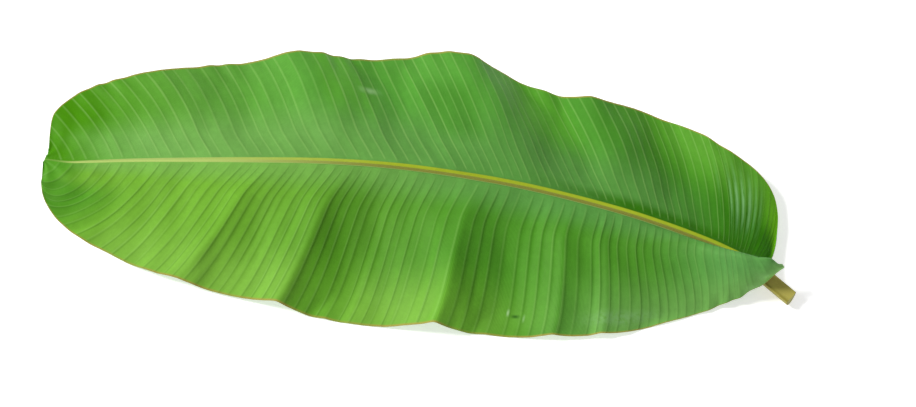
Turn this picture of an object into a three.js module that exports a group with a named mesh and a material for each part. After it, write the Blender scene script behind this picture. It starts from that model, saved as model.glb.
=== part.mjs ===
// Banana leaf, cut with a short stub of its stalk and lying upper side up.
// Millimetres, +Z up. X runs along the leaf, from the tip (-X) to the stalk (+X); Y runs across it.
// The leaf is one closed sheet: a grid of rows along the leaf and columns across it, with an upper
// and an under surface. A row follows one pair of side veins, numbered from the stalk to the tip.

import * as THREE from "three";
import { mergeVertices } from "three/addons/utils/BufferGeometryUtils.js";

// Driving dimensions
const VEIN_PAIRS = 62;
const BLADE_THICKNESS = 1.2;
const RIB_WIDTH = 16; // between the blade halves; it narrows to the tip
const RIB_TAPER_VEINS = 66; // vein number at which the narrowing midrib would reach no width
const RIB_TAPER_POWER = 4; // above 1, most of the narrowing is near the tip
const STALK_WIDTH = 24;
const GROOVE_DEPTH = 0.2; // of the midrib's width
const STALK_GROOVE_DEPTH = 0.06; // of the stalk's width
const KEEL_DEPTH = 0.82; // of the width
const ROOF_HOLLOW = 1.12; // above 1, the blade drops faster beside the midrib than at its edge
const VEIN_BOW_BASE = 0.06; // sideways bow of a vein, as a share of its length, near the stalk
const VEIN_BOW_MIDDLE = 0.015;
const VEIN_BOW_TIP = 0.06;
const FAR_RIB_DRIFT = 0.3; // vein numbers by which a side vein leans to the tip at the midrib
const NEAR_RIB_DRIFT = 0.45;
const FAR_MARGIN_DRIFT = -1; // vein numbers by which it leans back to the stalk at the margin
const NEAR_MARGIN_DRIFT = -0.9;
const NEAR_TIP_DRIFT = 3.2; // vein numbers by which the last near veins sweep to the tip
const NEAR_TIP_DRIFT_POWER = 2.5; // above 1, most of the sweep is near the margin
const FAR_FOLD_SHARPNESS = 0.1; // 0 for round crests, 1 for sharp crests between round valleys
const NEAR_FOLD_SHARPNESS = 0.8;
const NEAR_LOBE_RISE = 45; // how far the near lobe arches up beside the stalk
const NEAR_LOBE_LEAN = 0.5; // below 1, that arch stands nearer the midrib than the margin
const NEAR_LOBE_SWELL = 12; // how far its outer face swells away from the midrib
const NEAR_SWELL_LEAN = 1.5; // above 1, that swelling is nearer the margin than the midrib
const FAR_LOBE_DIP = -9; // how far the far lobe sags beside the midrib
const FAR_LOBE_LEAN = 0.7;
const WELD = 1e-3;

// Stretches of the leaf, as first and last vein number, over which one shape gives way to another.
const STALK_TO_RIB = [0, 8];
const BASE_TO_MIDDLE = [8, 26];
const MIDDLE_TO_TIP = [36, 56];
const DRIFT_START = [4, 14];
const FAR_MARGIN_DRIFT_START = [28, 40];
const DRIFT_END = [46, 57];
const TIP_SWEEP_START = [50, 56.5];
const TIP_SWEEP_END = [56.5, 62];
const NEAR_LOBE_END = [4, 18];
const NEAR_SWELL_START = [1, 4];
const NEAR_SWELL_END = [3, 12];
const FAR_DIP_START = [0, 2.5];
const FAR_DIP_END = [8, 20];

// Shares of the way from the midrib to the margin over which a vein leans one way and then back.
const LEAN_TO_TIP = [0, 0.3];
const LEAN_TO_STALK = [0.1, 1];

// The mesh: columns across each half and across the midrib, and rows that close up at the lobes.
const HALF_COLUMNS = 10;
const COLUMN_CROWDING = 1.3; // above 1, the columns stand closer together beside the midrib
const RIB_COLUMNS = 6;
const LOBE_VEINS = 4;
const LOBE_ROWS = 8;

// The midrib's upper edge line, and where each vein ends on the far and the near margin.
// Columns: vein number, midrib x y z, far margin x y z, near margin x y z.
const VEINS = [
  [0, 500, -30, 30, 503, -20, 30, 503, -40, 30],
  [1, 496, -27, 32, 514, 30, 20, 514, -32, 45],
  [2.5, 489, -23, 34, 512, 78, 19, 527, -25, 56],
  [4, 480, -18, 36, 498, 121, 20, 513, -38, 41],
  [6, 463, -12, 38, 460, 160, 22, 490, -54, 24],
  [8, 442, -6, 41, 408, 187, 22, 462, -74, 8],
  [10, 415, 0, 45, 362, 213, 14, 432, -92, -2],
  [13, 352, 10, 53, 276, 247, -2, 376, -125, -11],
  [17, 268, 20, 61, 165, 249, -12, 278, -172, -12],
  [22, 163, 28, 66, 40, 269, -13, 155, -202, -12],
  [25, 100, 31, 68, -27, 284, -13, 78, -211, -12],
  [28, 37, 32, 68, -99, 284, -13, 1, -221, -12],
  [34, -89, 30, 65, -231, 257, -12, -145, -234, -12],
  [40, -215, 20, 58, -364, 224, -11, -295, -227, -11],
  [46, -341, 4, 47, -492, 189, -6, -446, -214, -8],
  [52, -467, -13, 33, -605, 136, 0, -560, -181, -3],
  [56, -551, -25, 23, -666, 99, 4, -615, -158, 0],
  [59, -614, -36, 16, -697, 50, 6, -653, -130, 2],
  [60.5, -648, -41, 12, -695, 12, 6, -677, -96, 4],
  [62, -688, -41, 8, -684, -27, 6, -688, -46, 6],
];

// Folds that run across the blade along the veins: crests and hollows in turn.
// Columns: vein number, height that the fold adds at the margin.
const FAR_FOLDS = [
  [2, 0],
  [9.4, 14],
  [12.2, 2],
  [16.4, 34],
  [19.4, 2],
  [25.9, 46],
  [32.2, 0],
  [38.7, 44],
  [44.8, 0],
  [50.6, 14],
  [56.2, 2],
  [62, 0],
];
const NEAR_FOLDS = [
  [4, 0],
  [9, 8],
  [13, 4],
  [18, 24],
  [19.4, 18],
  [21, 26],
  [24.6, 3],
  [28.2, 46],
  [34.4, 0],
  [38.5, 38],
  [42, 14],
  [45, 30],
  [54, 0],
  [62, 0],
];

// The stalk stub beyond the blade: upper edge line, out to the cut.
const STALK = [
  [516, -39, 27],
  [533, -48.5, 24],
  [550, -58, 21],
];

const FAR = 1;
const NEAR = -1;

// A share that eases from 0 to 1 while the value crosses the stretch.
function ease([start, end], value) {
  return THREE.MathUtils.smoothstep(value, start, end);
}

// Cubic curve through the chosen columns of VEINS, at any vein number.
function alongLeaf(vein, firstColumn) {
  const last = VEINS.length - 1;
  let i = 0;
  while (i < last - 1 && VEINS[i + 1][0] <= vein) i++;
  const span = VEINS[i + 1][0] - VEINS[i][0];
  const t = (vein - VEINS[i][0]) / span;
  const slope = (row, column) => {
    const after = VEINS[Math.min(row + 1, last)];
    const before = VEINS[Math.max(row - 1, 0)];
    return (after[column] - before[column]) / (after[0] - before[0]);
  };
  const value = (column) => {
    const start = VEINS[i][column];
    const end = VEINS[i + 1][column];
    const startSlope = slope(i, column) * span;
    const endSlope = slope(i + 1, column) * span;
    return (
      (2 * t ** 3 - 3 * t ** 2 + 1) * start +
      (t ** 3 - 2 * t ** 2 + t) * startSlope +
      (3 * t ** 2 - 2 * t ** 3) * end +
      (t ** 3 - t ** 2) * endSlope
    );
  };
  return new THREE.Vector3(value(firstColumn), value(firstColumn + 1), value(firstColumn + 2));
}

const midrib = (vein) => alongLeaf(vein, 1);
const margin = (vein, side) => alongLeaf(vein, side === FAR ? 4 : 7);

function ribWidth(vein) {
  const rib = RIB_WIDTH * (1 - (Math.max(vein, 0) / RIB_TAPER_VEINS) ** RIB_TAPER_POWER);
  return THREE.MathUtils.lerp(STALK_WIDTH, rib, ease(STALK_TO_RIB, vein));
}

// How many vein numbers a side vein has strayed by the time it reaches a share of the blade.
function veinDrift(vein, share, side) {
  const within = ease(DRIFT_START, vein) * (1 - ease(DRIFT_END, vein));
  const leaving = within * ease(LEAN_TO_TIP, share);
  const returning = within * ease(LEAN_TO_STALK, share);
  if (side === FAR) {
    const farReturning = returning * ease(FAR_MARGIN_DRIFT_START, vein);
    return FAR_RIB_DRIFT * leaving + FAR_MARGIN_DRIFT * farReturning;
  }
  const tip = ease(TIP_SWEEP_START, vein) * (1 - ease(TIP_SWEEP_END, vein));
  const sweep = NEAR_TIP_DRIFT * tip * share ** NEAR_TIP_DRIFT_POWER;
  return NEAR_RIB_DRIFT * leaving + NEAR_MARGIN_DRIFT * returning + sweep;
}

// Height that the folds add at the margin. Crests and hollows follow one another.
function foldHeight(vein, side) {
  const folds = side === FAR ? FAR_FOLDS : NEAR_FOLDS;
  const sharpness = side === FAR ? FAR_FOLD_SHARPNESS : NEAR_FOLD_SHARPNESS;
  if (vein <= folds[0][0]) return 0;
  const i = folds.findIndex((fold) => fold[0] >= vein);
  const [start, startHeight] = folds[i - 1];
  const [end, endHeight] = folds[i];
  const along = (vein - start) / (end - start);
  const climb = endHeight > startHeight ? along : 1 - along;
  const round = 0.5 - 0.5 * Math.cos(Math.PI * climb);
  const shape = THREE.MathUtils.lerp(round, climb ** 2, sharpness);
  const low = Math.min(startHeight, endHeight);
  const high = Math.max(startHeight, endHeight);
  return THREE.MathUtils.lerp(low, high, shape);
}

// Extra height of the lobe beside the stalk, at a share of the way from midrib to margin.
function lobeHeight(vein, share, side) {
  if (side === NEAR) {
    const rise = NEAR_LOBE_RISE * (1 - ease(NEAR_LOBE_END, vein));
    return rise * Math.sin(Math.PI * share ** NEAR_LOBE_LEAN);
  }
  const dip = ease(FAR_DIP_START, vein) * (1 - ease(FAR_DIP_END, vein));
  return FAR_LOBE_DIP * dip * Math.sin(Math.PI * share ** FAR_LOBE_LEAN);
}

// How far the outer face of the near lobe swells sideways, away from the midrib.
function lobeSwell(vein, share, side) {
  if (side === FAR) return 0;
  const swell = NEAR_LOBE_SWELL * ease(NEAR_SWELL_START, vein) * (1 - ease(NEAR_SWELL_END, vein));
  return -swell * Math.sin(Math.PI * share ** NEAR_SWELL_LEAN);
}

function veinBow(vein) {
  const toMiddle = ease(BASE_TO_MIDDLE, vein);
  const bow = THREE.MathUtils.lerp(VEIN_BOW_BASE, VEIN_BOW_MIDDLE, toMiddle);
  return THREE.MathUtils.lerp(bow, VEIN_BOW_TIP, ease(MIDDLE_TO_TIP, vein));
}

// The side line of the midrib, where the blade joins it.
function ribEdge(vein, side) {
  const ahead = midrib(Math.min(vein + 0.5, VEIN_PAIRS));
  const behind = midrib(Math.max(vein - 0.5, 0));
  const along = ahead.sub(behind).setZ(0).normalize();
  const across = new THREE.Vector3(along.y, -along.x, 0).multiplyScalar(side);
  return midrib(vein).addScaledVector(across, ribWidth(vein) / 2);
}

// A point of the blade's under surface, on a side vein at a share of the way to the margin.
function bladePoint(vein, share, side) {
  if (vein <= 0) return ribEdge(0, side);
  const place = vein + veinDrift(vein, share, side);
  const root = ribEdge(place, side);
  const end = margin(place, side);
  const bow = veinBow(place) * Math.hypot(end.x - root.x, end.y - root.y);
  const x = root.x + (end.x - root.x) * share + bow * 4 * share * (1 - share);
  const y = root.y + (end.y - root.y) * share + lobeSwell(place, share, side);
  const roof = root.z + (end.z - root.z) * (1 - (1 - share) ** ROOF_HOLLOW);
  const fold = foldHeight(vein, side) * Math.sin((Math.PI / 2) * share);
  return new THREE.Vector3(x, y, Math.max(0, roof + fold + lobeHeight(place, share, side)));
}

// Under surface and groove of the midrib between its two side lines.
function ribPoints(near, far, width, grooveDepth) {
  const under = [];
  const upper = [];
  for (let i = 1; i < RIB_COLUMNS; i++) {
    const share = i / RIB_COLUMNS;
    const round = Math.sqrt(1 - (2 * share - 1) ** 2);
    const valley = 1 - Math.abs(2 * share - 1);
    const low = near.clone().lerp(far, share);
    const top = low.clone();
    low.z = Math.max(0, low.z - KEEL_DEPTH * width * round);
    top.z += BLADE_THICKNESS - grooveDepth * width * valley;
    under.push(low);
    upper.push(top);
  }
  return { under, upper };
}

// One row of the grid: near margin, near midrib edge, midrib, far midrib edge, far margin.
function bladeRow(vein) {
  const shares = Array.from(
    { length: HALF_COLUMNS + 1 },
    (_, i) => (i / HALF_COLUMNS) ** COLUMN_CROWDING,
  );
  const near = shares.map((share) => bladePoint(vein, share, NEAR)).reverse();
  const far = shares.map((share) => bladePoint(vein, share, FAR));
  const rib = ribPoints(near[HALF_COLUMNS], far[0], ribWidth(vein), GROOVE_DEPTH);
  return { under: [...near, ...rib.under, ...far], ribUpper: rib.upper };
}

// A row of the stalk: the midrib's section alone, with the blade's columns drawn in to its edges.
function stalkRow(index) {
  const [x, y, z] = STALK[index];
  const before = index === 0 ? midrib(0) : new THREE.Vector3(...STALK[index - 1]);
  const along = new THREE.Vector3(x, y, z).sub(before).setZ(0).normalize();
  const across = new THREE.Vector3(-along.y, along.x, 0).multiplyScalar(STALK_WIDTH / 2);
  const near = new THREE.Vector3(x, y, z).sub(across);
  const far = new THREE.Vector3(x, y, z).add(across);
  const rib = ribPoints(near, far, STALK_WIDTH, STALK_GROOVE_DEPTH);
  const fill = (point) => Array.from({ length: HALF_COLUMNS + 1 }, () => point.clone());
  return { under: [...fill(near), ...rib.under, ...fill(far)], ribUpper: rib.upper };
}

// Vein numbers of the rows, closer together in the lobes at the stalk.
function rowVeins() {
  const lobe = Array.from({ length: LOBE_ROWS }, (_, i) => (i * LOBE_VEINS) / LOBE_ROWS);
  const rest = Array.from({ length: VEIN_PAIRS - LOBE_VEINS + 1 }, (_, i) => LOBE_VEINS + i);
  return [...lobe, ...rest];
}

// The direction square to the under surface at a grid point; straight up on the midrib and stalk.
function gridNormal(rows, r, c) {
  const onBlade = c < HALF_COLUMNS || c > HALF_COLUMNS + RIB_COLUMNS;
  const up = new THREE.Vector3(0, 0, 1);
  if (!onBlade) return up;
  const side = rows[Math.max(r - 1, 0)].under[c];
  const otherSide = rows[Math.min(r + 1, rows.length - 1)].under[c];
  const columns = rows[r].under;
  const ahead = columns[Math.min(c + 1, columns.length - 1)];
  const behind = columns[Math.max(c - 1, 0)];
  const alongRows = otherSide.clone().sub(side);
  const acrossRows = ahead.clone().sub(behind);
  const normal = acrossRows.cross(alongRows);
  if (normal.length() < WELD) return up;
  return normal.normalize();
}

function upperRow(rows, r) {
  const row = rows[r];
  return row.under.map((point, c) => {
    const ribColumn = c - HALF_COLUMNS - 1;
    if (ribColumn >= 0 && ribColumn < RIB_COLUMNS - 1) return row.ribUpper[ribColumn];
    return point.clone().addScaledVector(gridNormal(rows, r, c), BLADE_THICKNESS);
  });
}

// Closes two grids of points, one above the other, into one surface that faces out.
function closedSheet(upper, under) {
  const rows = upper.length;
  const columns = upper[0].length;
  const positions = [...upper, ...under].flat().flatMap((point) => point.toArray());
  const top = (r, c) => r * columns + c;
  const bottom = (r, c) => (rows + r) * columns + c;
  const indices = [];
  const quad = (a, b, c, d) => indices.push(a, b, c, a, c, d);
  for (let r = 0; r < rows - 1; r++) {
    for (let c = 0; c < columns - 1; c++) {
      quad(top(r, c), top(r, c + 1), top(r + 1, c + 1), top(r + 1, c));
      quad(bottom(r, c), bottom(r + 1, c), bottom(r + 1, c + 1), bottom(r, c + 1));
    }
    const last = columns - 1;
    quad(top(r, 0), top(r + 1, 0), bottom(r + 1, 0), bottom(r, 0));
    quad(top(r, last), bottom(r, last), bottom(r + 1, last), top(r + 1, last));
  }
  for (let c = 0; c < columns - 1; c++) {
    const last = rows - 1;
    quad(top(0, c), bottom(0, c), bottom(0, c + 1), top(0, c + 1));
    quad(top(last, c), top(last, c + 1), bottom(last, c + 1), bottom(last, c));
  }
  const geometry = new THREE.BufferGeometry();
  geometry.setAttribute("position", new THREE.Float32BufferAttribute(positions, 3));
  geometry.setIndex(indices);
  return withoutCollapsedFaces(mergeVertices(geometry, WELD));
}

function withoutCollapsedFaces(geometry) {
  const index = geometry.getIndex().array;
  const kept = [];
  for (let i = 0; i < index.length; i += 3) {
    const [a, b, c] = [index[i], index[i + 1], index[i + 2]];
    if (a !== b && b !== c && c !== a) kept.push(a, b, c);
  }
  geometry.setIndex(kept);
  return geometry;
}

// Sets the leaf on the ground plane, with the middle of its footprint at the origin.
function centre(geometry) {
  geometry.computeBoundingBox();
  const { min, max } = geometry.boundingBox;
  geometry.translate(-(min.x + max.x) / 2, -(min.y + max.y) / 2, -min.z);
  return geometry;
}

function leafGeometry() {
  const stalk = STALK.map((_, i) => stalkRow(i)).reverse();
  const rows = [...stalk, ...rowVeins().map((vein) => bladeRow(vein))];
  const upper = rows.map((_, r) => upperRow(rows, r));
  const under = rows.map((row) => row.under);
  const geometry = centre(closedSheet(upper, under));
  geometry.computeVertexNormals();
  return geometry;
}

const leafMaterial = new THREE.MeshStandardMaterial({
  color: 0x5f9e35,
  roughness: 0.45,
  metalness: 0,
});

const leaf = new THREE.Mesh(leafGeometry(), leafMaterial);
leaf.name = "banana_leaf";

const bananaLeaf = new THREE.Group();
bananaLeaf.add(leaf);

export default bananaLeaf;
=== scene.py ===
"""A cut banana leaf lying on a pale floor, upper side up: geometry, materials, light and camera."""

import math

import bpy
import numpy as np
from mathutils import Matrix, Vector


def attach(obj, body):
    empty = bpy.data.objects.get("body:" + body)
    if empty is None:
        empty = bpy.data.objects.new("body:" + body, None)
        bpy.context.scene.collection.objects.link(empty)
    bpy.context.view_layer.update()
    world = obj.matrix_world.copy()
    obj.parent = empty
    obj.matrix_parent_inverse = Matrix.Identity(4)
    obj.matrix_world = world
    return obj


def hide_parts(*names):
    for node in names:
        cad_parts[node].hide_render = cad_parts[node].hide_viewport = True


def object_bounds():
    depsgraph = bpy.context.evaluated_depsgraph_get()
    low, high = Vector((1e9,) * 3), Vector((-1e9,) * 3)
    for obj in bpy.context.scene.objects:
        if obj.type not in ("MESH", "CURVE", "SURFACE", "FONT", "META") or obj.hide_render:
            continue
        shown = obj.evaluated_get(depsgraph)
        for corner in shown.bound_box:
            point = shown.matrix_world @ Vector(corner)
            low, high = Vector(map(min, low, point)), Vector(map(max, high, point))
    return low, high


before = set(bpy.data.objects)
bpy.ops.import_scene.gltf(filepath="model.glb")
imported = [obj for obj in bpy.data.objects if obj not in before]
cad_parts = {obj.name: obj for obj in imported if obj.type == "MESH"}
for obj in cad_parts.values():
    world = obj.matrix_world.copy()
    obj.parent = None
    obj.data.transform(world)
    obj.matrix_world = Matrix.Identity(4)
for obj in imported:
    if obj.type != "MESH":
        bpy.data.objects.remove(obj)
cad_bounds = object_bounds()

# ---------------------------------------------------------------- driving dimensions, in metres

VEIN_PAIRS = 62
SKIN_TOP = 0.0010  # the drawn upper face, above the base surface
SKIN_UNDER = 0.0003
RIB_WIDTH = 0.016
RIB_TAPER_VEINS = 66
RIB_TAPER_POWER = 4
STALK_WIDTH = 0.024
GROOVE_DEPTH = 0.2
STALK_GROOVE_DEPTH = 0.06
KEEL_DEPTH = 0.82
ROOF_HOLLOW = 1.12
VEIN_BOW_BASE = 0.06
VEIN_BOW_MIDDLE = 0.015
VEIN_BOW_TIP = 0.06
FAR_RIB_DRIFT = 0.3
NEAR_RIB_DRIFT = 0.45
FAR_MARGIN_DRIFT = -1
NEAR_MARGIN_DRIFT = -0.9
NEAR_TIP_DRIFT = 3.2
NEAR_TIP_DRIFT_POWER = 2.5
FAR_FOLD_SHARPNESS = 0.1
NEAR_FOLD_SHARPNESS = 0.8
NEAR_LOBE_RISE = 0.045
NEAR_LOBE_LEAN = 0.5
NEAR_LOBE_SWELL = 0.012
NEAR_SWELL_LEAN = 1.5
FAR_LOBE_DIP = -0.009
FAR_LOBE_LEAN = 0.7
GROUND_SOFTNESS = 0.003  # how gradually the blade levels out on the ground

# Stretches of the leaf, as first and last vein number, over which one shape gives way to another.
STALK_TO_RIB = (0, 8)
BASE_TO_MIDDLE = (8, 26)
MIDDLE_TO_TIP = (36, 56)
DRIFT_START = (4, 14)
FAR_MARGIN_DRIFT_START = (28, 40)
DRIFT_END = (46, 57)
TIP_SWEEP_START = (50, 56.5)
TIP_SWEEP_END = (56.5, 62)
NEAR_LOBE_END = (4, 18)
NEAR_SWELL_START = (1, 4)
NEAR_SWELL_END = (3, 12)
FAR_DIP_START = (0, 2.5)
FAR_DIP_END = (8, 20)
PLEATS_START = (0.5, 4)
PLEATS_END = (58, 62)
NEAR_PLEATS_START = (8, 14)
NEAR_PLEATS_END = (46, 56)
WAVES_START = (0, 3)

# Shares of the way from the midrib to the margin, likewise.
LEAN_TO_TIP = (0, 0.3)
LEAN_TO_STALK = (0.1, 1)
PLEATS_RISE = (0, 0.12)
PLEATS_FLATTEN = (0.6, 1)
WAVES_RISE = (0, 0.3)
RIPPLE_RISE = (0.75, 1)

# Vein number, midrib x y z, far margin x y z, near margin x y z.
VEINS = (
    (0, 0.5, -0.03, 0.03, 0.503, -0.02, 0.03, 0.503, -0.04, 0.03),
    (1, 0.496, -0.027, 0.032, 0.514, 0.03, 0.02, 0.514, -0.032, 0.045),
    (2.5, 0.489, -0.023, 0.034, 0.512, 0.078, 0.019, 0.527, -0.025, 0.056),
    (4, 0.48, -0.018, 0.036, 0.498, 0.121, 0.02, 0.513, -0.038, 0.041),
    (6, 0.463, -0.012, 0.038, 0.46, 0.16, 0.022, 0.49, -0.054, 0.024),
    (8, 0.442, -0.006, 0.041, 0.408, 0.187, 0.022, 0.462, -0.074, 0.008),
    (10, 0.415, 0, 0.045, 0.362, 0.213, 0.014, 0.432, -0.092, -0.002),
    (13, 0.352, 0.01, 0.053, 0.276, 0.247, -0.002, 0.376, -0.125, -0.011),
    (17, 0.268, 0.02, 0.061, 0.165, 0.249, -0.012, 0.278, -0.172, -0.012),
    (22, 0.163, 0.028, 0.066, 0.04, 0.269, -0.013, 0.155, -0.202, -0.012),
    (25, 0.1, 0.031, 0.068, -0.027, 0.284, -0.013, 0.078, -0.211, -0.012),
    (28, 0.037, 0.032, 0.068, -0.099, 0.284, -0.013, 0.001, -0.221, -0.012),
    (34, -0.089, 0.03, 0.065, -0.231, 0.257, -0.012, -0.145, -0.234, -0.012),
    (40, -0.215, 0.02, 0.058, -0.364, 0.224, -0.011, -0.295, -0.227, -0.011),
    (46, -0.341, 0.004, 0.047, -0.492, 0.189, -0.006, -0.446, -0.214, -0.008),
    (52, -0.467, -0.013, 0.033, -0.605, 0.136, 0, -0.56, -0.181, -0.003),
    (56, -0.551, -0.025, 0.023, -0.666, 0.099, 0.004, -0.615, -0.158, 0),
    (59, -0.614, -0.036, 0.016, -0.697, 0.05, 0.006, -0.653, -0.13, 0.002),
    (60.5, -0.648, -0.041, 0.012, -0.695, 0.012, 0.006, -0.677, -0.096, 0.004),
    (62, -0.688, -0.041, 0.008, -0.684, -0.027, 0.006, -0.688, -0.046, 0.006),
)
# Vein number, height that the folds add at the margin: crests and hollows in turn.
FAR_FOLDS = (
    (2, 0), (9.4, 0.014), (12.2, 0.002), (16.4, 0.034), (19.4, 0.002), (25.9, 0.046),
    (32.2, 0), (38.7, 0.044), (44.8, 0), (50.6, 0.014), (56.2, 0.002), (62, 0),
)
NEAR_FOLDS = (
    (4, 0), (9, 0.008), (13, 0.004), (18, 0.024), (19.4, 0.018), (21, 0.026),
    (24.6, 0.003), (28.2, 0.046), (34.4, 0), (38.5, 0.038), (42, 0.014), (45, 0.03),
    (54, 0), (62, 0),
)
STALK = ((0.516, -0.039, 0.027), (0.533, -0.0485, 0.024), (0.550, -0.058, 0.021))

FAR, NEAR = 1, -1

# Bands between neighbouring side veins. Spacing: from a vein number on, the width of a band.
BANDS = 80
SPACING_SAMPLES = 20  # for each vein number
FAR_SPACING = ((0, 0.55), (15, 0.7), (31, 0.93))
NEAR_SPACING = ((0, 0.8), (8, 0.66), (19, 0.9), (31, 0.75), (47, 1.0))
VEIN_JITTER = 0.13  # of a band's width

# Pleats: the blade climbs slowly to each side vein and falls off sharply on its stalk side.
PLEAT_PHASES = (0, 0.1, 0.27, 0.48, 0.68, 0.82, 0.93)
PLEAT_FALL = 0.34  # share of a band that the sharp fall takes
PLEAT_CLIMB_POWER = 0.8
PLEAT_FALL_POWER = 1.5
PLEAT_STRENGTHS = (0.6, 1.3)  # of the weakest and the strongest side vein
FAR_PLEAT_HEIGHT = 0.0004
NEAR_PLEAT_HEIGHT = 0.0009
MARGIN_PLEATS = 0.5  # height at the margin, as a share of the full height
TIP_PLEAT_LOSS = 0.6
NEAR_BASE_PLEATS = 0.35
NEAR_TIP_PLEATS = 0.7

# Low waves of the blade and ripples of its margin, lifted so that they stay above the base surface.
WAVE_HEIGHT = 0.0012
RIPPLE_HEIGHT = 0.0011
WAVE_LIFT = 0.0016

# The midrib's raised lips, as shares of its width, and the least height of its keel.
LIP_PLACE = 0.1
LIP_REACH = 0.08
LIP_HEIGHT = 0.035
KEEL_CLEARANCE = 0.0003

# The mesh
HALF_COLUMNS = 34
COLUMN_CROWDING = 1.15  # above 1, the columns stand closer together beside the midrib
RIB_COLUMNS = 12
STALK_ROWS = 14
STUB_STEPS = 3  # length of the stub on the map, in bands
LEAST_VEIN = 1e-4
TINY = 1e-9
SHARP_ANGLE = 60  # degrees

# Looks
THREADS_PER_BAND = 11  # fine parallel veins between two side veins
LEAF_SHEEN = (0.8, 1.0, 0.5)  # tint of the gloss

# Floor, light and camera. Directions are in degrees.
FLOOR_HALF_WIDTH = 12
FLOOR_GREY = 0.93
FLOOR_GLOW = 0.5
WORLD_STRENGTH = 0.37
KEY_AZIMUTH = 180
KEY_ELEVATION = 42
KEY_SOFTNESS = 16
KEY_STRENGTH = 3.1
CAMERA_AZIMUTH = 11.5
CAMERA_ELEVATION = 60
CAMERA_DISTANCE = 3.5
CAMERA_TARGET = (0.0707, -0.0261, 0.030)
CAMERA_LENS = 85  # millimetres
CAMERA_SENSOR = 36

rng = np.random.default_rng(62)
VEIN_TABLE = np.array(VEINS, float)
FOLD_TABLES = {FAR: np.array(FAR_FOLDS, float), NEAR: np.array(NEAR_FOLDS, float)}


def ease(start, end, value):
    t = np.clip((value - start) / (end - start), 0, 1)
    return t * t * (3 - 2 * t)


def mix(a, b, t):
    return a + (b - a) * t


# ---------------------------------------------------------------- the smooth leaf surface


def along_leaf(vein, column):
    """Cubic curve through three columns of the vein table, at any vein numbers."""
    knots, points = VEIN_TABLE[:, 0], VEIN_TABLE[:, column : column + 3]
    slope_light = np.empty_like(points)
    slope_light[1:-1] = (points[2:] - points[:-2]) / (knots[2:] - knots[:-2])[:, None]
    slope_light[0] = (points[1] - points[0]) / (knots[1] - knots[0])
    slope_light[-1] = (points[-1] - points[-2]) / (knots[-1] - knots[-2])
    vein = np.asarray(vein, float)
    i = np.clip(np.searchsorted(knots, vein, side="right") - 1, 0, len(knots) - 2)
    span = (knots[i + 1] - knots[i])[..., None]
    t = (vein - knots[i])[..., None] / span
    return (
        (2 * t**3 - 3 * t**2 + 1) * points[i]
        + (t**3 - 2 * t**2 + t) * span * slope_light[i]
        + (3 * t**2 - 2 * t**3) * points[i + 1]
        + (t**3 - t**2) * span * slope_light[i + 1]
    )


def rib_width(vein):
    """Width of the midrib, which is the stalk's at the stalk and narrows to the tip."""
    rib = RIB_WIDTH * (1 - (np.maximum(vein, 0) / RIB_TAPER_VEINS) ** RIB_TAPER_POWER)
    return mix(STALK_WIDTH, rib, ease(*STALK_TO_RIB, vein))


def vein_drift(vein, share, side):
    """How many vein numbers a side vein has strayed by the time it reaches a share of the blade."""
    within = ease(*DRIFT_START, vein) * (1 - ease(*DRIFT_END, vein))
    leaving = within * ease(*LEAN_TO_TIP, share)
    returning = within * ease(*LEAN_TO_STALK, share)
    if side == FAR:
        return FAR_RIB_DRIFT * leaving + FAR_MARGIN_DRIFT * returning * ease(*FAR_MARGIN_DRIFT_START, vein)
    tip = ease(*TIP_SWEEP_START, vein) * (1 - ease(*TIP_SWEEP_END, vein))
    sweep = NEAR_TIP_DRIFT * tip * share**NEAR_TIP_DRIFT_POWER
    return NEAR_RIB_DRIFT * leaving + NEAR_MARGIN_DRIFT * returning + sweep


def rib_edge(vein, side):
    """The line where one half of the blade leaves the midrib."""
    ahead, behind = np.minimum(vein + 0.5, VEIN_PAIRS), np.maximum(vein - 0.5, 0)
    along = along_leaf(ahead, 1) - along_leaf(behind, 1)
    along[..., 2] = 0
    along /= np.linalg.norm(along, axis=-1, keepdims=True)
    across = np.stack([along[..., 1], -along[..., 0], 0 * along[..., 0]], -1) * side
    return along_leaf(vein, 1) + across * rib_width(vein)[..., None] / 2


def fold_height(vein, side):
    """Height that the folds add at the margin."""
    table = FOLD_TABLES[side]
    i = np.clip(np.searchsorted(table[:, 0], vein, side="right") - 1, 0, len(table) - 2)
    start, end = table[i], table[i + 1]
    along = np.clip((vein - start[..., 0]) / (end[..., 0] - start[..., 0]), 0, 1)
    climb = np.where(end[..., 1] > start[..., 1], along, 1 - along)
    sharpness = FAR_FOLD_SHARPNESS if side == FAR else NEAR_FOLD_SHARPNESS
    shape = mix(0.5 - 0.5 * np.cos(np.pi * climb), climb**2, sharpness)
    low, high = np.minimum(start[..., 1], end[..., 1]), np.maximum(start[..., 1], end[..., 1])
    return mix(low, high, shape)


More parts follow.
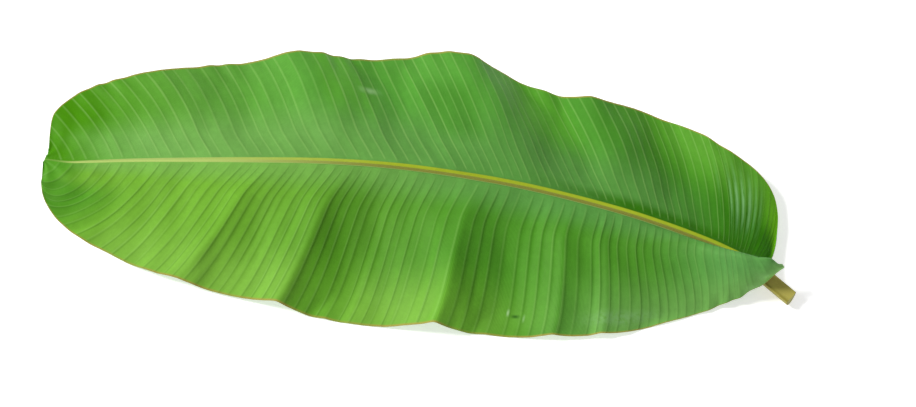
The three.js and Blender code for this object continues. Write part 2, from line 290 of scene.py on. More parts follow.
def blade_surface(vein, share, side):
    """Points of the smooth blade, on side veins at a share of the way from the midrib to the margin."""
    vein, share = np.broadcast_arrays(np.asarray(vein, float), np.asarray(share, float))
    place = vein + vein_drift(vein, share, side)
    root = rib_edge(place, side)
    end = along_leaf(place, 4 if side == FAR else 7)
    bow = mix(VEIN_BOW_BASE, VEIN_BOW_MIDDLE, ease(*BASE_TO_MIDDLE, place))
    bow = mix(bow, VEIN_BOW_TIP, ease(*MIDDLE_TO_TIP, place))
    bow = bow * np.hypot(end[..., 0] - root[..., 0], end[..., 1] - root[..., 1])
    x = mix(root[..., 0], end[..., 0], share) + bow * 4 * share * (1 - share)
    y = mix(root[..., 1], end[..., 1], share)
    z = mix(root[..., 2], end[..., 2], 1 - (1 - share) ** ROOF_HOLLOW)
    z = z + fold_height(vein, side) * np.sin(np.pi / 2 * share)
    if side == NEAR:
        swell = NEAR_LOBE_SWELL * ease(*NEAR_SWELL_START, place) * (1 - ease(*NEAR_SWELL_END, place))
        y = y - swell * np.sin(np.pi * share**NEAR_SWELL_LEAN)
        rise = NEAR_LOBE_RISE * (1 - ease(*NEAR_LOBE_END, place))
        z = z + rise * np.sin(np.pi * share**NEAR_LOBE_LEAN)
    else:
        dip = ease(*FAR_DIP_START, place) * (1 - ease(*FAR_DIP_END, place))
        z = z + FAR_LOBE_DIP * dip * np.sin(np.pi * share**FAR_LOBE_LEAN)
    return np.stack([x, y, above_ground(z)], -1)


def above_ground(z):
    """Height levelled out smoothly where it would fall below the ground."""
    return 0.5 * (z + np.sqrt(z * z + GROUND_SOFTNESS**2))


# ---------------------------------------------------------------- rows, columns and relief


def band_places(spacing):
    """Vein numbers of the lines between the bands, a little unevenly spaced."""
    vein = np.linspace(0, VEIN_PAIRS, VEIN_PAIRS * SPACING_SAMPLES + 1)
    starts, widths = np.array(spacing, float).T
    width = widths[np.searchsorted(starts, vein, side="right") - 1]
    count = np.concatenate([[0], np.cumsum(1 / width[1:])])
    bands = np.arange(BANDS + 1) + rng.uniform(-VEIN_JITTER, VEIN_JITTER, BANDS + 1)
    places = np.interp(bands, count * BANDS / count[-1], vein)
    places[0], places[-1] = 0, VEIN_PAIRS
    return places


def row_steps():
    """Place of each row among the bands: whole numbers are side veins."""
    steps = np.arange(BANDS)[:, None] + np.array(PLEAT_PHASES)[None]
    return np.append(steps.ravel(), BANDS)


def pleat(step, strength):
    """Relief across a band of the blade: 1 on a side vein, 0 at the foot of its sharp side."""
    phase = step % 1
    slow = 1 - ease(0, 1 - PLEAT_FALL, phase) ** PLEAT_CLIMB_POWER
    sharp = ease(1 - PLEAT_FALL, 1, phase) ** PLEAT_FALL_POWER
    shape = np.where(phase < 1 - PLEAT_FALL, slow, sharp)
    return shape * mix(strength[np.floor(step).astype(int)], strength[np.ceil(step).astype(int)], phase)


def blade_waves(vein, share, side):
    """Low waves all over the blade; their rates have no common measure, so they don't repeat."""
    return WAVE_HEIGHT * np.sin(vein * 1.7 + 5 * share + side) * np.sin(share * 7 + vein * 0.4)


def margin_ripple(vein, share):
    return RIPPLE_HEIGHT * np.sin(vein * 2.9 + 2 * np.sin(vein * 0.7)) * ease(*RIPPLE_RISE, share)


def half_relief(step, vein, share, side):
    """Height of the pleats, waves and ripple above the smooth surface of one half."""
    strength = rng.uniform(*PLEAT_STRENGTHS, BANDS + 1)
    rise = ease(*PLEATS_RISE, share) * mix(1, MARGIN_PLEATS, ease(*PLEATS_FLATTEN, share))
    lobes = ease(*PLEATS_START, vein) * (1 - TIP_PLEAT_LOSS * ease(*PLEATS_END, vein))
    if side == FAR:
        height = FAR_PLEAT_HEIGHT
    else:
        height = NEAR_PLEAT_HEIGHT * mix(NEAR_BASE_PLEATS, 1, ease(*NEAR_PLEATS_START, vein))
        height = height * mix(1, NEAR_TIP_PLEATS, ease(*NEAR_PLEATS_END, vein))
    pleats = height * pleat(step, strength) * rise * lobes
    waves = blade_waves(vein, share, side) + margin_ripple(vein, share) + WAVE_LIFT
    return pleats + waves * ease(*WAVES_RISE, share) * ease(*WAVES_START, vein)


def surface_normals(grid):
    """Unit normals of a grid of points, upright where two points fall together."""
    along = np.gradient(grid, axis=0)
    across = np.gradient(grid, axis=1)
    normals = np.cross(across, along)
    length = np.linalg.norm(normals, axis=-1, keepdims=True)
    up = np.array([0.0, 0.0, 1.0])
    return np.where(length > TINY, normals / np.maximum(length, TINY), up)


def half_grid(side, steps, places):
    """The line beside the midrib, and the upper and under points and the shares of one half."""
    share = (np.arange(HALF_COLUMNS + 1) / HALF_COLUMNS)[None] ** COLUMN_CROWDING
    vein = np.maximum(places, LEAST_VEIN)[:, None]
    base = blade_surface(vein, share, side)
    normals = surface_normals(base) * side
    relief = half_relief(steps[:, None] + 0 * share, vein + 0 * share, share + 0 * vein, side)
    foot = normals * relief[..., None]
    upper = base + foot + normals * SKIN_TOP
    under = base + foot + normals * SKIN_UNDER
    return base[:, 0], upper, under, share[0]


def rib_grid(near, far, width, groove):
    """Upper channel and under keel between the two side lines of the midrib."""
    share = (0.5 - 0.5 * np.cos(np.pi * np.arange(1, RIB_COLUMNS) / RIB_COLUMNS))[None]
    base = near[:, None] + (far - near)[:, None] * share[..., None]
    round_section = np.sqrt(1 - (2 * share - 1) ** 2)
    valley = 0.5 - 0.5 * np.cos(2 * np.pi * share)
    lips = sum(np.exp(-(((share - place) / LIP_REACH) ** 2)) for place in (LIP_PLACE, 1 - LIP_PLACE))
    upper = base.copy()
    upper[..., 2] += SKIN_TOP + width[:, None] * (LIP_HEIGHT * lips - groove * valley)
    under = base.copy()
    keel = under[..., 2] - KEEL_DEPTH * width[:, None] * round_section
    under[..., 2] = np.maximum(KEEL_CLEARANCE, keel)
    return upper, under, share[0]


def stalk_lines():
    """Near and far side lines of the stalk stub, from its cut end to the blade."""
    knots = np.array([along_leaf(0.0, 1), *STALK])
    t = np.linspace(len(STALK), 0, STALK_ROWS + 1)[:-1]
    centre = np.stack([np.interp(t, np.arange(len(knots)), knots[:, k]) for k in range(3)], -1)
    along = np.gradient(centre, axis=0)
    along[:, 2] = 0
    along /= np.linalg.norm(along, axis=-1, keepdims=True)
    across = np.stack([along[:, 1], -along[:, 0], 0 * along[:, 0]], -1) * STALK_WIDTH / 2
    return centre - across, centre + across


# ---------------------------------------------------------------- the mesh


def repeated(line, lift):
    """A side line of the stub, raised and repeated for each column of a half."""
    return np.repeat((line + [0, 0, lift])[:, None], HALF_COLUMNS + 1, 1)


def stub_grids():
    """Upper and under points of the stalk stub, with as many columns as the leaf."""
    near_line, far_line = stalk_lines()
    upper, under, _ = rib_grid(near_line, far_line, np.full(STALK_ROWS, STALK_WIDTH), STALK_GROOVE_DEPTH)
    upper = np.concatenate([repeated(near_line, SKIN_TOP), upper, repeated(far_line, SKIN_TOP)], 1)
    under = np.concatenate([repeated(near_line, SKIN_UNDER), under, repeated(far_line, SKIN_UNDER)], 1)
    return upper, under


def build_leaf():
    """Upper and under points of the whole leaf, and each point's place on it for the materials."""
    steps = row_steps()
    near_places = np.interp(steps, np.arange(BANDS + 1), band_places(NEAR_SPACING))
    far_places = np.interp(steps, np.arange(BANDS + 1), band_places(FAR_SPACING))
    near_line, near_up, near_low, near_share = half_grid(NEAR, steps, near_places)
    far_line, far_up, far_low, far_share = half_grid(FAR, steps, far_places)
    width = rib_width((near_places + far_places) / 2)
    rib_up, rib_low, rib_share = rib_grid(near_line, far_line, width, GROOVE_DEPTH)
    stub_upper, stub_under = stub_grids()

    half = np.ones(HALF_COLUMNS + 1)
    side = np.concatenate([-half, 2 * rib_share - 1, half])
    stub_steps = -np.linspace(STUB_STEPS, 0, STALK_ROWS + 1)[:-1]
    row_near = np.concatenate([stub_steps, near_places])[:, None]
    row_far = np.concatenate([stub_steps, far_places])[:, None]
    return {
        "upper": np.concatenate([stub_upper, np.concatenate([near_up[:, ::-1], rib_up, far_up], 1)]),
        "under": np.concatenate([stub_under, np.concatenate([near_low[:, ::-1], rib_low, far_low], 1)]),
        "share": np.concatenate([near_share[::-1], 0 * rib_share, far_share]),
        "side": side,
        "step": np.concatenate([stub_steps, steps]),
        "vein": mix(row_near, row_far, (side[None] + 1) / 2),
    }


class LeafMesh:
    """Grid of the leaf closed into one skin: faces, their material part and their place on the map."""

    UPPER, UNDER, RIM, CUT = range(4)
    # Part of the map taken by each strip: bottom edge and height.
    STRIPS = {
        "far_upper_base": (0.002, 0.17),
        "far_upper_tip": (0.176, 0.17),
        "near_upper_base": (0.350, 0.17),
        "near_upper_tip": (0.524, 0.17),
        "far_under": (0.698, 0.09),
        "near_under": (0.792, 0.09),
        "rib_upper": (0.886, 0.03),
        "rib_under": (0.920, 0.03),
        "near_rim": (0.954, 0.004),
        "far_rim": (0.962, 0.004),
        "tip_rim": (0.970, 0.004),
        "cut": (0.978, 0.020),
    }
    MID_STEP = BANDS // 2
    CUT_MAP_WIDTH = 0.08
    MAP_MARGIN = 0.001

    def __init__(self, leaf):
        self.leaf = leaf
        self.rows, self.columns = leaf["upper"].shape[:2]
        self.count = self.rows * self.columns
        column = np.arange(self.columns)
        index = np.tile(column, (self.rows, 1))
        index[:STALK_ROWS] = np.clip(column, HALF_COLUMNS, HALF_COLUMNS + RIB_COLUMNS)
        self.index = index + np.arange(self.rows)[:, None] * self.columns
        self.faces, self.parts, self.maps = [], [], []
        self.close()

    def add(self, part, strip, corners, place):
        """Adds faces. Corners are (row, column, layer) and place gives each corner's spot in the strip."""
        start, height = self.STRIPS[strip]
        ids = [self.index[r, c] + layer * self.count for r, c, layer in corners]
        spots = [place(r, c, layer) for r, c, layer in corners]
        for k in range(len(ids[0])):
            ring, uvs = [], []
            for corner in range(4):
                number = int(ids[corner][k])
                if number in ring:
                    continue
                ring.append(number)
                u, v = (float(np.broadcast_to(s, ids[0].shape)[k]) for s in spots[corner])
                uvs.append((self.MAP_MARGIN + (1 - 2 * self.MAP_MARGIN) * u, start + height * v))
            if len(ring) >= 3:
                self.faces.append(ring)
                self.parts.append(part)
                self.maps.extend(uvs)

    def sheet(self, part, strip, rows, columns, layer, place):
        """Adds the faces between rows and columns of one layer; the under layer faces down."""
        r, c = (v.ravel() for v in np.meshgrid(rows, columns, indexing="ij"))
        ring = [(r, c, layer), (r, c + 1, layer), (r + 1, c + 1, layer), (r + 1, c, layer)]
        self.add(part, strip, ring if layer == 0 else ring[::-1], place)

    # Spots on the map, from 0 to 1 along and across a strip, for a corner's row, column and layer.

    def along_whole(self, row):
        return (self.leaf["step"][row] + STUB_STEPS) / (BANDS + STUB_STEPS)

    def in_base(self, row, column, _):
        return self.leaf["step"][row] / self.MID_STEP, self.leaf["share"][column]

    def in_tip(self, row, column, _):
        along = (self.leaf["step"][row] - self.MID_STEP) / (BANDS - self.MID_STEP)
        return along, self.leaf["share"][column]

    def in_half(self, row, column, _):
        return self.leaf["step"][row] / BANDS, self.leaf["share"][column]

    def in_rib(self, row, column, _):
        return self.along_whole(row), (self.leaf["side"][column] + 1) / 2

    def on_rim(self, row, _, layer):
        return self.along_whole(row), layer

    def on_tip_rim(self, _, column, layer):
        return column / (self.columns - 1), layer

    def on_cut(self, _, column, layer):
        return self.CUT_MAP_WIDTH * (self.leaf["side"][column] + 1) / 2, layer

    def close(self):
        """Makes all the faces: both sides of the halves and of the midrib, the rims and the cut end."""
        last_row, last = self.rows - 1, self.columns - 1
        middle = int(np.searchsorted(self.leaf["step"], self.MID_STEP))
        base_rows, tip_rows = np.arange(STALK_ROWS, middle), np.arange(middle, last_row)
        blade_rows, every_row = np.arange(STALK_ROWS, last_row), np.arange(last_row)
        near_columns = np.arange(HALF_COLUMNS)
        rib_columns = np.arange(HALF_COLUMNS, HALF_COLUMNS + RIB_COLUMNS)
        far_columns = np.arange(HALF_COLUMNS + RIB_COLUMNS, last)
        for name, columns in (("near", near_columns), ("far", far_columns)):
            self.sheet(self.UPPER, name + "_upper_base", base_rows, columns, 0, self.in_base)
            self.sheet(self.UPPER, name + "_upper_tip", tip_rows, columns, 0, self.in_tip)
            self.sheet(self.UNDER, name + "_under", blade_rows, columns, 1, self.in_half)
        self.sheet(self.UPPER, "rib_upper", every_row, rib_columns, 0, self.in_rib)
        self.sheet(self.UNDER, "rib_under", every_row, rib_columns, 1, self.in_rib)

        r, near, far = every_row, 0 * every_row, 0 * every_row + last
        near_ring = [(r, near, 0), (r + 1, near, 0), (r + 1, near, 1), (r, near, 1)]
        far_ring = [(r, far, 0), (r, far, 1), (r + 1, far, 1), (r + 1, far, 0)]
        self.add(self.RIM, "near_rim", near_ring, self.on_rim)
        self.add(self.RIM, "far_rim", far_ring, self.on_rim)
        c = np.arange(last)
        tip = 0 * c + last_row
        tip_ring = [(tip, c, 0), (tip, c + 1, 0), (tip, c + 1, 1), (tip, c, 1)]
        self.add(self.RIM, "tip_rim", tip_ring, self.on_tip_rim)
        c = rib_columns
        cut = 0 * c
        cut_ring = [(cut, c, 0), (cut, c, 1), (cut, c + 1, 1), (cut, c + 1, 0)]
        self.add(self.CUT, "cut", cut_ring, self.on_cut)


def centred_on_cad(points):
    """Points moved sideways so that their box has its middle where the CAD box has it."""
    cad_low, cad_high = (np.array(v) for v in cad_bounds)
    shift = (cad_low + cad_high) / 2 - (points.min(0) + points.max(0)) / 2
    shift[2] = 0
    return points + shift


def add_attributes(mesh, leaf, used):
    """Gives each vertex its place on the leaf: band step, share and side, and vein number."""
    rows, columns = leaf["upper"].shape[:2]
    step = np.repeat(leaf["step"][:, None], columns, 1).ravel()
    place = np.stack([step, np.tile(leaf["share"], rows), np.tile(leaf["side"], rows)], -1)
    attribute = mesh.attributes.new("leaf_place", "FLOAT_VECTOR", "POINT")
    attribute.data.foreach_set("vector", np.tile(place, (2, 1))[used].ravel().astype(np.float32))
    attribute = mesh.attributes.new("leaf_vein", "FLOAT", "POINT")
    attribute.data.foreach_set("value", np.tile(leaf["vein"].ravel(), 2)[used].astype(np.float32))


def add_leaf(materials):
    leaf = build_leaf()
    skin = LeafMesh(leaf)
    points = np.concatenate([leaf["upper"].reshape(-1, 3), leaf["under"].reshape(-1, 3)])
    used = np.unique([v for face in skin.faces for v in face])
    renumber = np.zeros(len(points), int)
    renumber[used] = np.arange(len(used))
    faces = [[int(renumber[v]) for v in face] for face in skin.faces]
    mesh = bpy.data.meshes.new("banana_leaf_visual")
    mesh.from_pydata(centred_on_cad(points[used]).tolist(), [], faces)
    add_attributes(mesh, leaf, used)
    uv = mesh.uv_layers.new(name="OFBake")
    uv.data.foreach_set("uv", np.array(skin.maps, np.float32).ravel())
    for material in materials:
        mesh.materials.append(material)
    mesh.polygons.foreach_set("material_index", np.array(skin.parts, np.int32))
    mesh.polygons.foreach_set("use_smooth", np.ones(len(skin.faces), bool))
    mesh.set_sharp_from_angle(angle=math.radians(SHARP_ANGLE))
    mesh.update()
    obj = bpy.data.objects.new("banana_leaf_visual", mesh)
    bpy.context.collection.objects.link(obj)
    return obj


# ---------------------------------------------------------------- materials


def srgb(red, green, blue):
    """A colour given as display values of 0 to 255, in linear light."""
    channels = [v / 255 for v in (red, green, blue)]
    return tuple(v / 12.92 if v <= 0.04045 else ((v + 0.055) / 1.055) ** 2.4 for v in channels)


class Shade:
    """Builds one material's node tree; a value may be a number, a colour or another node's output.

    Its places on the leaf are step (bands from the stalk, where whole numbers are side veins), vein
    (vein number), share (0 at the midrib, 1 at the margin) and side (-1 near to 1 far).
    """

    # The colour sockets of a Mix node, which share their names with its number and vector sockets.
    MIX_A, MIX_B, MIX_RESULT = 6, 7, 2

    def __init__(self, name):
        self.material = bpy.data.materials.new(name)
        self.material.use_nodes = True
        self.tree = self.material.node_tree
        self.shader = self.tree.nodes["Principled BSDF"]
        place = self.node("ShaderNodeAttribute", attribute_name="leaf_place")
        split = self.node("ShaderNodeSeparateXYZ")
        self.put(split.inputs[0], place.outputs["Vector"])
        self.step, self.share, self.side = split.outputs
        self.vein = self.node("ShaderNodeAttribute", attribute_name="leaf_vein").outputs["Fac"]
        self.spot = self.node("ShaderNodeTexCoord").outputs["Object"]

    def node(self, kind, **settings):
        made = self.tree.nodes.new(kind)
        for key, value in settings.items():
            setattr(made, key, value)
        return made

    def put(self, socket, value):
        if isinstance(value, bpy.types.NodeSocket):
            self.tree.links.new(value, socket)
        elif isinstance(value, tuple) and socket.type == "RGBA":
            socket.default_value = (*value, 1)
        else:
            socket.default_value = value

    def math(self, operation, *values):
        made = self.node("ShaderNodeMath", operation=operation)
        for socket, value in zip(made.inputs, values):
            self.put(socket, value)
        return made.outputs[0]

    def fade(self, value, start, end):
        """0 up to start, 1 from end on, smooth between."""
        made = self.node("ShaderNodeMapRange", interpolation_type="SMOOTHSTEP")
        low, high, flipped = (start, end, False) if start < end else (end, start, True)
        self.put(made.inputs["Value"], value)
        self.put(made.inputs["From Min"], low)
        self.put(made.inputs["From Max"], high)
        if flipped:
            self.put(made.inputs["To Min"], 1.0)
            self.put(made.inputs["To Max"], 0.0)
        return made.outputs["Result"]

    def near_to(self, value, centre, reach):
        """1 where the value is the centre, fading to 0 at the reach from it."""
        away = self.math("ABSOLUTE", self.math("SUBTRACT", value, centre))
        return self.fade(away, reach, 0)

    def blend(self, share, a, b):
        made = self.node("ShaderNodeMix", data_type="RGBA")
        self.put(made.inputs["Factor"], share)
        self.put(made.inputs[self.MIX_A], a)
        self.put(made.inputs[self.MIX_B], b)
        return made.outputs[self.MIX_RESULT]

    def paint(self, base, colour, strength, *masks):
        """Lays a colour over a base, at a strength, where the masks are all 1."""
        return self.blend(self.product(*masks, strength), base, colour)

    def scaled(self, colour, amount):
        made = self.node("ShaderNodeVectorMath", operation="SCALE")
        self.put(made.inputs[0], colour)
        self.put(made.inputs["Scale"], amount)
        return made.outputs[0]

    def noise(self, vector, scale, detail=2, roughness=0.5):
        made = self.node("ShaderNodeTexNoise")
        self.put(made.inputs["Vector"], vector)
        self.put(made.inputs["Scale"], scale)
        self.put(made.inputs["Detail"], detail)
        self.put(made.inputs["Roughness"], roughness)
        return made.outputs[0]

    def spread(self, value, low, high):
        """Maps 0 to 1 onto low to high."""
        return self.math("MULTIPLY_ADD", value, high - low, low)

    def vector(self, x, y, z):
        made = self.node("ShaderNodeCombineXYZ")
        for socket, value in zip(made.inputs, (x, y, z)):
            self.put(socket, value)
        return made.outputs[0]

    def chance(self, value, seed):
        """A fixed random number for each whole value."""
        made = self.node("ShaderNodeTexWhiteNoise", noise_dimensions="2D")
        self.put(made.inputs["Vector"], self.vector(value, seed, 0.0))
        return made.outputs["Value"]

    def product(self, *values):
        result = values[0]
        for value in values[1:]:
            result = self.math("MULTIPLY", result, value)
        return result

    def window(self, value, start, full, end, gone):
        """0 up to start, 1 from full to end, 0 again from gone on."""
        return self.product(self.fade(value, start, full), self.fade(value, gone, end))

    def either(self, a, b):
        return self.math("MAXIMUM", a, b)

    def patch(self, vein, vein_reach, share, share_reach):
        """A spot on the blade: 1 in its middle, 0 at its edge."""
        along = self.near_to(self.vein, vein, vein_reach)
        return self.product(along, self.near_to(self.share, share, share_reach))

    def to_vein(self, phase):
        """How far a place in a band is from the nearer side vein, as a share of the band."""
        return self.math("MINIMUM", phase, self.math("SUBTRACT", 1.0, phase))

    def threads(self):
        """Fine parallel veins between two side veins, as a wave from -0.5 to 0.5."""
        wave = self.math("SINE", self.math("MULTIPLY", self.step, 2 * math.pi * THREADS_PER_BAND))
        return self.spread(wave, 0.0, 0.5)

    def on_rib(self):
        """0 on the blade, 1 in the middle of the midrib."""
        return self.math("SUBTRACT", 1.0, self.math("ABSOLUTE", self.side))

    def finish(self, colour, roughness, height=None, distance=0.0003, specular=0.5):
        self.put(self.shader.inputs["Base Color"], colour)
        self.put(self.shader.inputs["Roughness"], roughness)
        self.put(self.shader.inputs["Specular IOR Level"], specular)
        self.put(self.shader.inputs["Specular Tint"], LEAF_SHEEN)
        if height is not None:
            bump = self.node("ShaderNodeBump")
            self.put(bump.inputs["Height"], height)
            self.put(bump.inputs["Distance"], distance)
            self.put(self.shader.inputs["Normal"], bump.outputs[0])
        return self.material


def far_tone(s, phase, band, streak):
    """Far half: deep green at the stalk, partly painted shade; a waxy haze beside the midrib, partly
    painted sheen; painted light and shade on the folds and the lobe; saturated at the tip's margin.
    """
    # Deep green at the stalk: partly the leaf's own colour, partly painted shade where the lobe faces away
    # from the light.
    deep = s.blend(s.fade(s.vein, 6, 26), srgb(46, 114, 4), srgb(80, 149, 50))
    tone = s.blend(s.fade(s.vein, 34, 54), deep, srgb(98, 163, 58))
    # A pale waxy haze beside the midrib, partly painted sheen.
    haze_and_sheen = s.blend(s.fade(s.vein, 24, 50), srgb(84, 142, 62), srgb(112, 168, 80))
    hazy_sheen_mask = s.product(s.fade(s.share, 0.66, 0.2), s.window(s.vein, 8, 16, 53, 61))
    tone = s.paint(tone, haze_and_sheen, 0.85, hazy_sheen_mask)
    # Painted shade: a dark strip beside the midrib near the stalk.
    strip = s.product(s.fade(s.share, 0.13, 0.03), s.window(s.vein, 1, 5, 16, 26))
    tone = s.blend(strip, tone, srgb(46, 110, 4))

    # Painted light on the shaded stalk sides of the two largest folds, and painted shade on the tip side
    # of the first of them.
    slope_light = s.either(s.window(s.vein, 17.5, 19.5, 22, 24.5), s.window(s.vein, 33.5, 35.5, 37.5, 39))
    tone = s.paint(tone, srgb(90, 166, 42), 0.6, s.fade(s.share, 0.3, 0.7), slope_light)
    tip_side_shade = s.product(s.window(s.vein, 25.5, 27.5, 29, 31), s.window(s.share, 0.2, 0.4, 0.62, 0.85))
    tone = s.paint(tone, srgb(58, 122, 28), 0.65, tip_side_shade)

    # Margins of the tip and of the lobe beside the stalk; the lobe's margin and rim carry painted light.
    tip_margin = s.product(s.fade(s.share, 0.28, 0.7), s.fade(s.vein, 47, 58))
    tone = s.blend(s.either(tip_margin, s.fade(s.vein, 57, 61)), tone, srgb(70, 142, 0))
    tone = s.paint(tone, srgb(90, 156, 44), 0.75, s.fade(s.share, 0.3, 0.85), s.fade(s.vein, 17, 9))
    # Painted light on the lobe's outer rim.
    rim = s.product(s.fade(s.share, 0.3, 0.7), s.fade(s.vein, 6.0, 2.5))
    tone = s.blend(rim, tone, srgb(104, 178, 14))

    # Painted highlights: gleams between some of the side veins of that lobe.
    painted_gleam = s.product(
        s.near_to(s.vein, 7.2, 3.0),
        s.near_to(s.share, 0.52, 0.46),
        s.near_to(phase, 0.4, 0.42),
        s.fade(s.chance(band, 11.0), 0.35, 0.7),
        s.fade(streak, 0.3, 0.55),
    )
    return s.paint(tone, srgb(134, 188, 124), 0.7, painted_gleam)


def near_tone(s):
    """Near half: a waxy haze over the lobe and beside the midrib, partly painted sheen; painted light
    making it brighter and yellower along its margin; painted shade towards the tip and on the folds.
    """
    tone = s.blend(s.fade(s.vein, 26, 50), srgb(72, 138, 34), srgb(112, 172, 48))
    # A pale waxy haze over the lobe and beside the midrib, partly painted sheen.
    lobe = s.either(s.fade(s.vein, 16, 8), s.product(s.fade(s.share, 0.24, 0.04), 0.7))
    haze_and_sheen = s.blend(s.fade(s.vein, 20, 50), srgb(88, 148, 72), srgb(120, 176, 80))
    tone = s.blend(lobe, tone, haze_and_sheen)
    # Painted light along the margin.
    margin_light = s.product(s.fade(s.share, 0.5, 0.95), s.window(s.vein, 20, 29, 50, 55))
    tone = s.paint(tone, srgb(128, 184, 66), 0.7, margin_light)
    # Painted sheen on the outer part of the lobe.
    lobe_rim_sheen = s.product(s.fade(s.share, 0.35, 0.95), s.fade(s.vein, 24, 15))
    tone = s.paint(tone, srgb(118, 176, 86), 0.8, lobe_rim_sheen)
    # Painted shade towards the tip.
    tip_shade = s.product(s.fade(s.share, 0.2, 0.6), s.fade(s.vein, 52, 57))
    tone = s.blend(s.either(tip_shade, s.fade(s.vein, 58, 61)), tone, srgb(78, 146, 32))

    # Painted shade on the stalk sides of the two largest folds: darker beside the midrib, tinted more
    # vivid by the margin.
    valley = s.product(s.fade(s.share, 0.0, 0.3), s.window(s.vein, 34.4, 36.6, 37.4, 38.8))
    tone = s.paint(tone, srgb(50, 112, 6), 0.4, valley)
    fold_shade_tint = s.either(s.window(s.vein, 25, 26.5, 28, 29.5), s.window(s.vein, 33.5, 35, 37.5, 39))
    return s.paint(tone, srgb(104, 192, 34), 0.22, s.fade(s.share, 0.4, 0.8), fold_shade_tint)


def with_side_veins(s, base, phase, band, far):
    """A pale line on each side vein and painted shade on the darker fall on its stalk side."""
    clear = s.product(s.fade(s.share, 0.0, 0.04), s.spread(s.chance(band, 3.0), 0.4, 1.0))
    near_line = s.fade(s.to_vein(phase), 0.14, 0.02)
    line = s.product(near_line, clear, s.spread(far, 0.16, 0.3), s.fade(s.vein, 3, 9))
    # Painted shade where the blade falls off on the stalk side of each side vein.
    fall = s.product(s.near_to(phase, 0.88, 0.12), clear, s.spread(far, 0.3, 0.1), s.fade(s.vein, 4, 14))
    base = s.blend(line, base, srgb(156, 204, 112))
    return s.blend(fall, base, srgb(44, 98, 8))


def with_blemishes(s, base, far, streak, fine):
    """A pale smudge, dull patches by the near margin, and a nick with two light edges, which are painted
    highlights.
    """
    near = s.math("SUBTRACT", 1.0, far)
    smudge = s.product(far, s.patch(34.4, 1.3, 0.69, 0.05), s.fade(streak, 0.3, 0.6))
    base = s.paint(base, srgb(170, 208, 150), 0.5, smudge)
    dull = s.product(near, s.patch(17.0, 3.4, 0.87, 0.1), s.fade(fine, 0.25, 0.6))
    base = s.paint(base, srgb(130, 178, 116), 0.5, dull)
    base = s.paint(base, srgb(30, 88, 10), 0.9, near, s.patch(23.65, 0.42, 0.842, 0.02))
    # Painted highlights on two edges of the nick.
    base = s.paint(base, srgb(180, 216, 160), 0.6, near, s.patch(24.15, 0.14, 0.82, 0.035))
    return s.paint(base, srgb(170, 208, 150), 0.35, near, s.patch(23.1, 0.12, 0.855, 0.04))


def with_midrib(s, base):
    """Bright far wall with painted light, dusky near wall with painted shade, over the rib's own yellow
    and tan; pale lip with a painted highlight; straw-coloured towards the tip.
    """
    rib = s.blend(s.fade(s.side, 0.15, 0.4), srgb(140, 142, 62), srgb(178, 196, 44))
    rib = s.blend(s.near_to(s.side, -0.72, 0.25), rib, srgb(150, 186, 104))
    rib = s.blend(s.fade(s.vein, 34, 54), rib, srgb(180, 202, 112))
    rib = s.blend(s.fade(s.vein, 59.5, 61.5), rib, srgb(110, 160, 60))
    return s.blend(s.fade(s.on_rib(), 0.1, 0.3), base, rib)


def with_stalk(s, base):
    """Olive-brown stalk, dry and streaked along its length."""
    grain = s.noise(s.vector(s.product(s.step, 0.25), s.product(s.side, 3.0), 0.0), 4.0, 4, 0.65)
    stalk = s.blend(grain, srgb(168, 158, 68), srgb(200, 190, 104))
    # Painted shade: darker on the near side of the stalk.
    stalk = s.blend(s.fade(s.side, -0.5, -0.9), stalk, srgb(150, 140, 62))
    return s.blend(s.fade(s.step, 1.2, 0.0), base, stalk)


def upper_material():
    s = Shade("leaf_upper")
    far = s.fade(s.side, -0.2, 0.2)
    phase = s.math("FRACT", s.step)
    band = s.math("FLOOR", s.step)
    broad = s.noise(s.spot, 7.0, 3)
    streak = s.noise(s.vector(s.step, s.math("MULTIPLY", s.share, 1.3), s.side), 2.3, 4, 0.6)
    fine = s.noise(s.spot, 160.0, 2)
    mottle = s.noise(s.spot, 70.0, 4, 0.65)

    # Each band between two side veins has its own tone, in each half, and its own streaks.
    unevenness = s.product(
        s.spread(s.chance(band, s.math("MULTIPLY", far, 7.0)), 0.91, 1.09),
        s.spread(streak, 0.86, 1.14),
        s.spread(broad, 0.9, 1.1),
        s.spread(fine, 0.94, 1.06),
        s.spread(mottle, 0.9, 1.1),
    )
    base = s.blend(far, near_tone(s), far_tone(s, phase, band, streak))
    base = s.scaled(base, unevenness)
    base = with_side_veins(s, base, phase, band, far)
    threads = s.threads()
    base = s.scaled(base, s.spread(threads, 1.0, 1.04))
    base = with_blemishes(s, base, far, streak, fine)
    base = with_stalk(s, with_midrib(s, base))

    # A dry line along the margin.
    dry = s.product(s.fade(s.share, 0.98, 0.995), s.fade(broad, 0.25, 0.5), s.fade(s.step, 0.0, 1.0))
    base = s.paint(base, srgb(168, 146, 72), 0.8, dry)

    height = s.math("ADD", threads, s.math("MULTIPLY", fine, 0.6))
    return s.finish(base, s.spread(streak, 0.4, 0.55), height, distance=0.00012, specular=0.14)


def under_material():
    s = Shade("leaf_under")
    phase = s.math("FRACT", s.step)
    fine = s.noise(s.spot, 160.0, 2)
    base = s.blend(s.noise(s.spot, 7.0, 3), srgb(118, 160, 92), srgb(140, 178, 112))
    base = s.blend(s.fade(s.to_vein(phase), 0.14, 0.02), base, srgb(172, 200, 140))
    threads = s.threads()
    base = s.scaled(base, s.spread(threads, 0.98, 1.05))
    keel = s.blend(s.fade(s.vein, 40, 0), srgb(196, 206, 130), srgb(158, 184, 84))
    base = s.blend(s.fade(s.on_rib(), 0.0, 0.2), base, keel)
    base = s.blend(s.fade(s.vein, 1.0, -0.5), base, srgb(152, 142, 66))
    return s.finish(base, 0.62, s.math("ADD", threads, fine), distance=0.0002, specular=0.35)


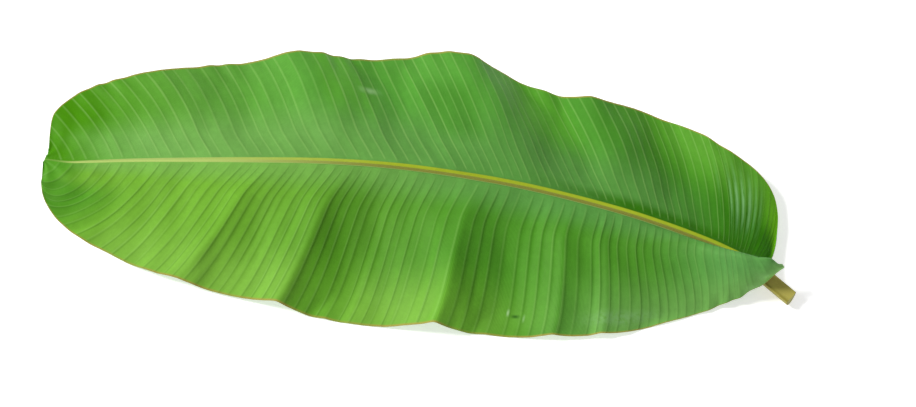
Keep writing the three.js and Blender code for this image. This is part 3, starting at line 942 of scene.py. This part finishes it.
def rim_material():
    s = Shade("leaf_margin")
    patches = s.noise(s.spot, 25.0, 3)
    colour = s.blend(patches, srgb(150, 150, 60), srgb(150, 112, 58))
    colour = s.blend(s.fade(s.vein, 0.4, 0.0), colour, srgb(150, 140, 62))
    return s.finish(colour, 0.65)


def cut_material():
    s = Shade("stalk_cut")
    cells = s.node("ShaderNodeTexVoronoi", feature="F1")
    s.put(cells.inputs["Vector"], s.spot)
    s.put(cells.inputs["Scale"], 420.0)
    holes = s.fade(cells.outputs["Distance"], 0.42, 0.2)
    flesh = s.blend(s.noise(s.spot, 300.0, 3), srgb(176, 172, 108), srgb(150, 148, 80))
    colour = s.blend(s.math("MULTIPLY", holes, 0.7), flesh, srgb(112, 104, 60))
    edge = s.fade(s.math("ABSOLUTE", s.side), 0.75, 0.98)
    colour = s.blend(s.math("MULTIPLY", edge, 0.7), colour, srgb(122, 92, 48))
    return s.finish(colour, 0.7, s.math("MULTIPLY", holes, -1.0), distance=0.0008, specular=0.3)


def floor_material():
    material = bpy.data.materials.new("floor_white")
    material.use_nodes = True
    shader = material.node_tree.nodes["Principled BSDF"]
    shader.inputs["Base Color"].default_value = (FLOOR_GREY, FLOOR_GREY, FLOOR_GREY, 1)
    shader.inputs["Roughness"].default_value = 0.95
    shader.inputs["Specular IOR Level"].default_value = 0.1
    shader.inputs["Emission Color"].default_value = (1, 1, 1, 1)
    shader.inputs["Emission Strength"].default_value = FLOOR_GLOW
    return material


# ---------------------------------------------------------------- floor, light and camera


def add_key_light():
    """A soft sun; its azimuth is counted from +X towards +Y."""
    data = bpy.data.lights.new("key", "SUN")
    data.energy = KEY_STRENGTH
    data.angle = math.radians(KEY_SOFTNESS)
    light = bpy.data.objects.new("key", data)
    turn, rise = math.radians(KEY_AZIMUTH), math.radians(KEY_ELEVATION)
    toward = Vector((math.cos(turn) * math.cos(rise), math.sin(turn) * math.cos(rise), math.sin(rise)))
    light.rotation_euler = (-toward).to_track_quat("-Z", "Y").to_euler()
    bpy.context.collection.objects.link(light)


def add_floor():
    mesh = bpy.data.meshes.new("floor")
    r = FLOOR_HALF_WIDTH
    mesh.from_pydata([(-r, -r, 0), (r, -r, 0), (r, r, 0), (-r, r, 0)], [], [(0, 1, 2, 3)])
    mesh.materials.append(floor_material())
    floor = bpy.data.objects.new("floor", mesh)
    bpy.context.collection.objects.link(floor)


def set_stage():
    add_floor()
    world = bpy.data.worlds.new("studio")
    world.use_nodes = True
    background = world.node_tree.nodes["Background"]
    background.inputs["Color"].default_value = (1, 1, 1, 1)
    background.inputs["Strength"].default_value = WORLD_STRENGTH
    bpy.context.scene.world = world
    add_key_light()
    bpy.context.scene.view_settings.view_transform = "Standard"


def set_camera():
    """Aims the camera from in front; its azimuth is counted from -Y towards +X."""
    azimuth, elevation = math.radians(CAMERA_AZIMUTH), math.radians(CAMERA_ELEVATION)
    back = Vector((
        math.sin(azimuth) * math.cos(elevation),
        -math.cos(azimuth) * math.cos(elevation),
        math.sin(elevation),
    ))
    data = bpy.data.cameras.new("camera")
    data.lens = CAMERA_LENS
    data.sensor_width = CAMERA_SENSOR
    camera = bpy.data.objects.new("camera", data)
    camera.location = Vector(CAMERA_TARGET) + back * CAMERA_DISTANCE
    camera.rotation_euler = (-back).to_track_quat("-Z", "Y").to_euler()
    bpy.context.collection.objects.link(camera)
    bpy.context.scene.camera = camera


piece = add_leaf([upper_material(), under_material(), rim_material(), cut_material()])
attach(piece, "root")
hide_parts("banana_leaf")
set_stage()
set_camera()
